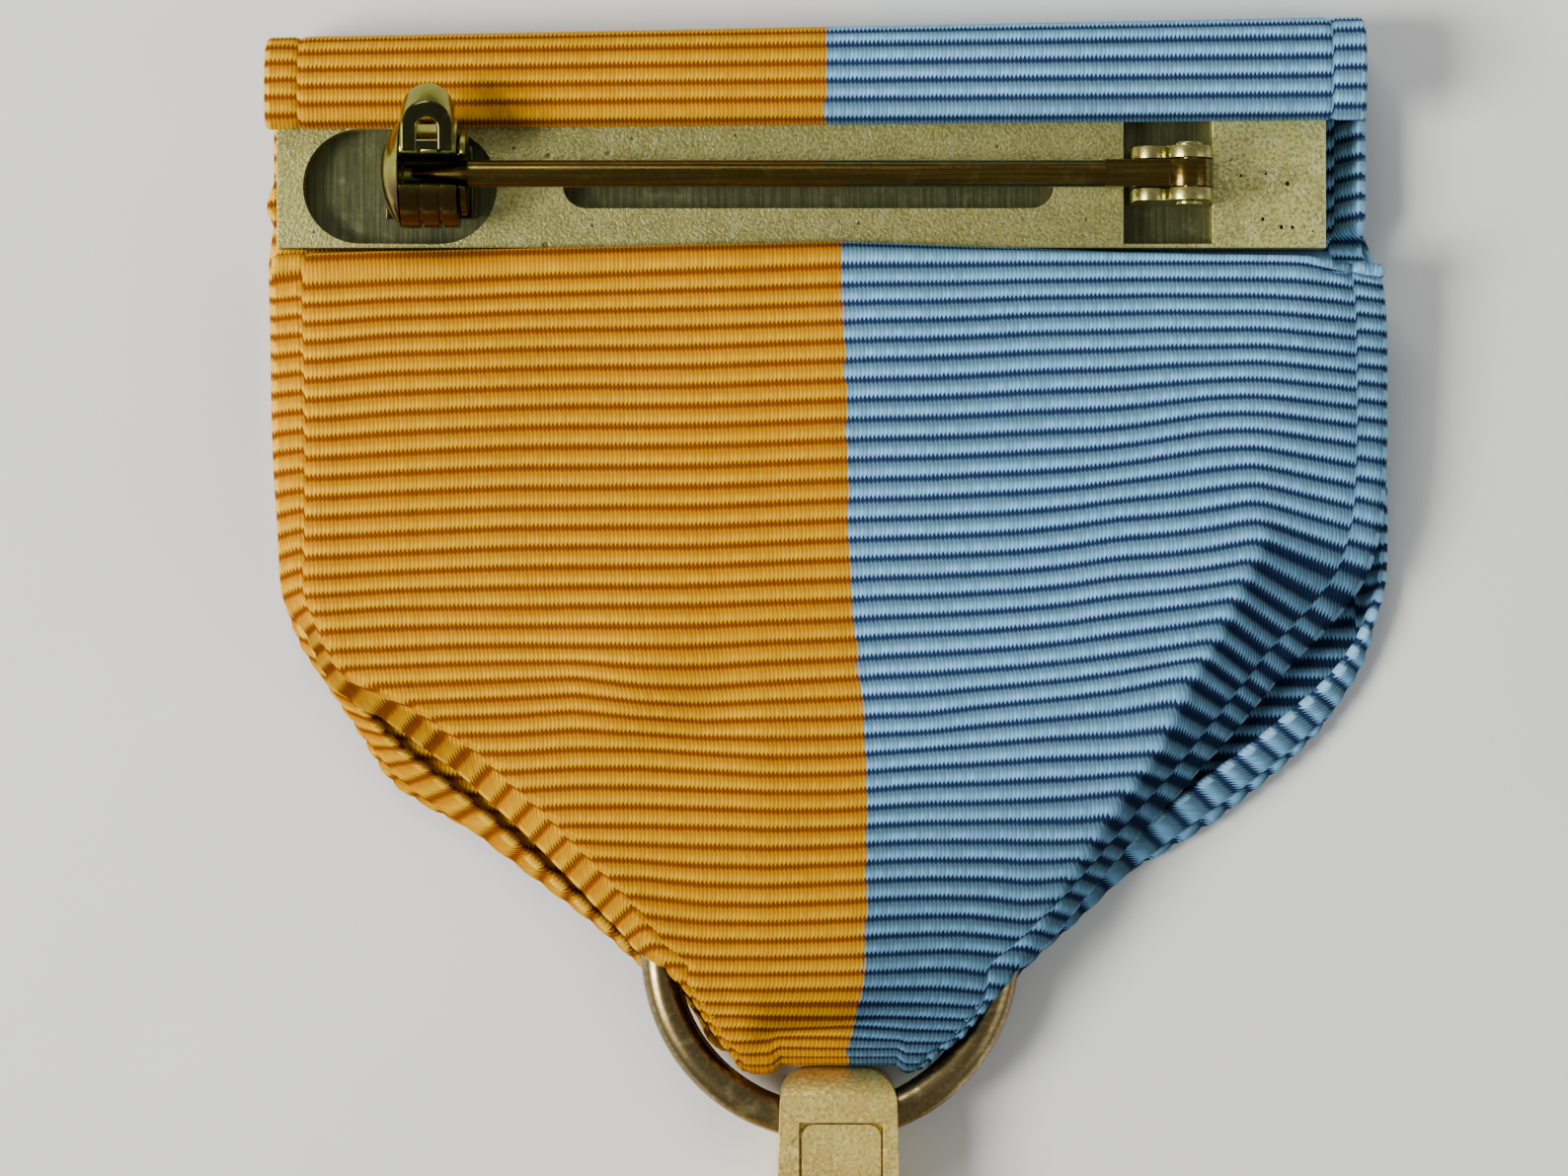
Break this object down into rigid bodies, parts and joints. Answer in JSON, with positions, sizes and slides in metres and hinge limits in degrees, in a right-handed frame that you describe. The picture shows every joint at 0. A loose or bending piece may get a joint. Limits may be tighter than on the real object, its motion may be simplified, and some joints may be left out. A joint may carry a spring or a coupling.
{
  "type": "military service medal",
  "caption": "Round medallion on a ring and two-colour ribbed ribbon drape, with a pin-back brooch bar and a turning safety catch.",
  "frame": {"origin": "middle of the overall box at rest, on the surface that the medal's front lies on", "axes": "+X to the right seen from the back, +Y along the medal from the medallion to the brooch bar, +Z out of the back, on the pin's side"},
  "size_m": [0.0354, 0.0704, 0.0058],
  "materials": {
    "ribbon": "ribbed silk-like grosgrain, orange-yellow half and light blue half",
    "inner_plate": "brushed, dull",
    "back_plate": "granular, pitted, dull",
    "catch_brass": "polished brass",
    "pin": "polished, copper-brown",
    "ring": "satin dark bronze",
    "pendant": "satin gold-bronze"
  },
  "bodies": {
    "brooch": {"inner_plate": "inner_plate", "back_plate": "back_plate", "joint_bracket": "catch_brass", "joint_rivet": "catch_brass", "catch_body": "catch_brass", "ribbon_front_drape": "ribbon", "ribbon_back_drape": "ribbon", "ribbon_bar_wrap": "ribbon", "ribbon_ring_fold": "ribbon"},
    "pin": {"pin_stem": "pin"},
    "catch": {"catch_rotor": "catch_brass"},
    "ring": {"suspension_ring": "ring"},
    "pendant": {"suspension_lug": "pendant", "lug_tongue": "pendant", "medallion": "pendant"}
  },
  "joints": [
    {"name": "pin_swing", "type": "hinge", "parent": "brooch", "child": "pin", "pos_m": [0.01132, 0.03012, 0.0041], "axis": [0, 1, 0], "range_deg": [0, 85]},
    {"name": "catch_turn", "type": "hinge", "parent": "brooch", "child": "catch", "pos_m": [-0.0122, 0.03012, 0.0041], "axis": [1, 0, 0], "range_deg": [0, 100]},
    {"name": "ring_slide", "type": "slide", "parent": "brooch", "child": "ring", "axis": [0, -1, 0], "range_m": [0, 0.0062]},
    {"name": "pendant_swing", "type": "hinge", "parent": "ring", "child": "pendant", "pos_m": [0.0004, 0.00047, 0.0015], "axis": [-1, 0, 0], "range_deg": [-110, 110]}
  ]
}
